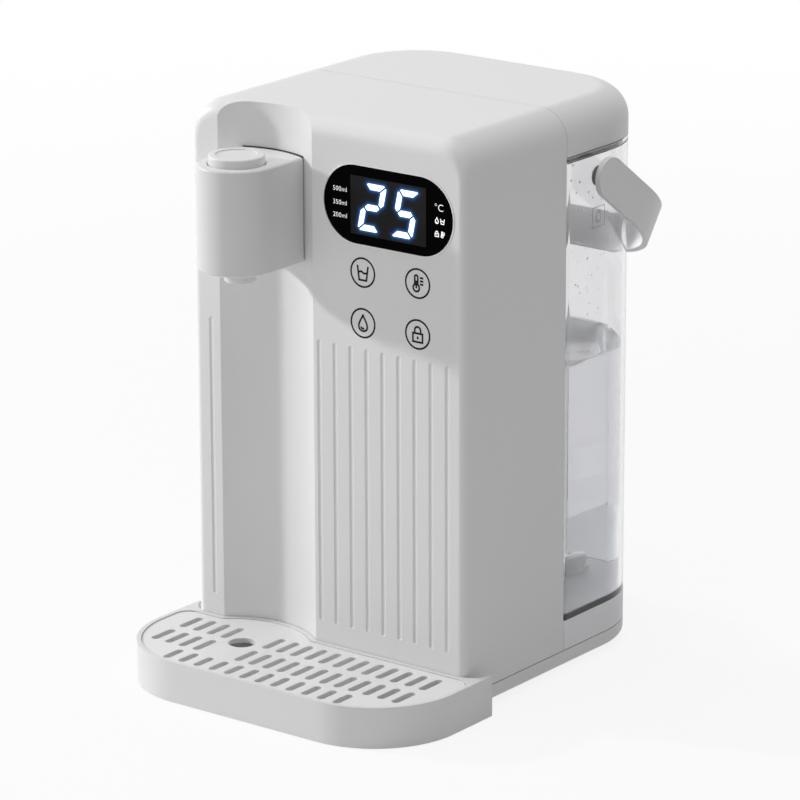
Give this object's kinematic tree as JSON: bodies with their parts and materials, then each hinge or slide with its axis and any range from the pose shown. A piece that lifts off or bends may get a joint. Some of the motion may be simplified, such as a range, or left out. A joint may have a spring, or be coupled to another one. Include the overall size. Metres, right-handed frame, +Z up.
{
  "type": "hot water dispenser",
  "caption": "Countertop hot water dispenser with a lift-off clear tank and bail handle at the rear, a spout with a push button over a slotted drip tray, and a lit display.",
  "frame": {"origin": "on the table, at the middle of the footprint from drip tray to hanging handle", "axes": "+Z up, front with spout and display towards -Y, +X to the right seen from the front"},
  "size_m": [0.19, 0.257, 0.296],
  "materials": {
    "housing": "fine matt",
    "base": "fine matt",
    "seat": "fine matt",
    "rear_wall": "fine matt",
    "window": "polished, smoked",
    "digits": "black, with lit segments",
    "spout": "fine matt",
    "button": "fine matt",
    "tray": "fine matt",
    "grille": "fine matt",
    "tank": "clear moulded plastic",
    "lid": "fine matt",
    "handle": "fine matt",
    "fitting": "satin",
    "rubber": "matt",
    "hose": "satin silicone",
    "board": "lacquered board",
    "steel": "bright",
    "inlet": "matt black"
  },
  "bodies": {
    "machine": {"main_housing": "housing", "base_pan": "base", "tank_seat": "seat", "rear_wall": "rear_wall", "display_window": "window", "digit_module": "digits", "spout_housing": "spout", "spout_cover": "spout", "spout_nozzle": "spout", "spout_nut": "spout", "seat_coupling": "fitting", "heater_cap_bottom": "fitting", "heater_cap_top": "fitting", "pump_head": "fitting", "foot_front_left": "rubber", "foot_front_right": "rubber", "foot_rear_left": "rubber", "foot_rear_right": "rubber", "seat_seal": "rubber", "inlet_hose": "hose", "pump_hose": "hose", "outlet_hose": "hose", "display_board": "board", "touch_board": "board", "button_switch": "board", "power_board": "board", "base_screw_1": "steel", "base_screw_2": "steel", "base_screw_3": "steel", "base_screw_4": "steel", "button_spring": "steel", "pump_motor": "steel", "heater_tube": "steel", "pump_bracket": "steel", "heater_bracket": "steel", "inlet_pins": "steel", "power_inlet": "inlet"},
    "dispense_button": {"dispense_button": "button"},
    "drip_tray": {"drip_tray": "tray"},
    "drip_grille": {"drip_grille": "grille"},
    "water_tank": {"tank_shell": "tank", "outlet_insert": "fitting", "outlet_filter": "fitting", "valve_spring": "steel", "pivot_bush_left": "rubber", "pivot_bush_right": "rubber"},
    "tank_lid": {"tank_lid": "lid", "lid_gasket": "rubber"},
    "tank_handle": {"tank_handle": "handle"},
    "valve": {"valve_poppet": "fitting", "valve_washer": "rubber"},
    "pump_rotor": {"pump_rotor": "fitting"}
  },
  "joints": [
    {"name": "button_press", "type": "slide", "parent": "machine", "child": "dispense_button", "axis": [0, 0, -1], "range_m": [0, 0.0025], "stiffness_N_per_m": 300, "springref_m": -0.003, "deforming": ["button_spring"]},
    {"name": "tray_pull", "type": "slide", "parent": "machine", "child": "drip_tray", "axis": [0, -1, 0], "range_m": [0, 0.1]},
    {"name": "grille_lift", "type": "slide", "parent": "drip_tray", "child": "drip_grille", "axis": [0, 0, 1], "range_m": [0, 0.03]},
    {"name": "tank_lift", "type": "slide", "parent": "machine", "child": "water_tank", "axis": [0, 0, 1], "range_m": [0, 0.08]},
    {"name": "lid_lift", "type": "slide", "parent": "water_tank", "child": "tank_lid", "axis": [0, 0, 1], "range_m": [0, 0.05]},
    {"name": "handle_swing", "type": "hinge", "parent": "water_tank", "child": "tank_handle", "pos_m": [0, 0.05346, 0.2578], "axis": [1, 0, 0], "range_deg": [0, 170]},
    {"name": "valve_close", "type": "slide", "parent": "water_tank", "child": "valve", "axis": [0, 0, -1], "range_m": [0, 0.0025], "deforming": ["valve_spring"]},
    {"name": "rotor_spin", "type": "hinge", "parent": "machine", "child": "pump_rotor", "pos_m": [0, -0.01354, 0.032], "axis": [0, 0, 1], "continuous": true}
  ],
  "couplings": [
    {"joint": "valve_close", "follows": "tank_lift", "ratio": 0.03125}
  ]
}
